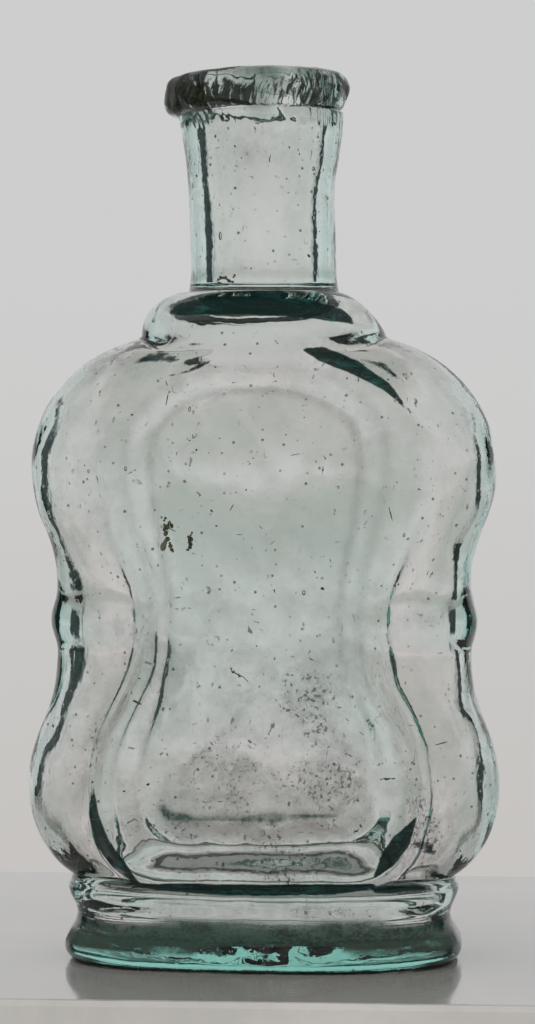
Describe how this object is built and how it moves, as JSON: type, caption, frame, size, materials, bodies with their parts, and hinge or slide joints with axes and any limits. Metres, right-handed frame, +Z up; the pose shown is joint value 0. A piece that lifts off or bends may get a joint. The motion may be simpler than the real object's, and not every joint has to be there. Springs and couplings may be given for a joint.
{
  "type": "cologne bottle",
  "caption": "Small mould-blown aqua glass cologne bottle: flattened hourglass body with sunken panels, flared foot, domed collar, plain neck and ring lip.",
  "frame": {"origin": "middle of the footprint, on the ground under the foot", "axes": "+Z up along the bottle's axis, -Y out of the front panel, +X to the right of someone facing the front"},
  "size_m": [0.064, 0.034, 0.12],
  "materials": {
    "aqua_glass": "clear pale aqua glass, glossy, faintly rippled by the mould",
    "lip_glass": "thicker aqua glass with fine tooling lines and old staining",
    "scar_glass": "rough broken glass"
  },
  "bodies": {
    "root": {"moulded_body": "aqua_glass", "neck_tube": "aqua_glass", "ring_lip": "lip_glass", "pontil_scar": "scar_glass"}
  },
  "joints": []
}
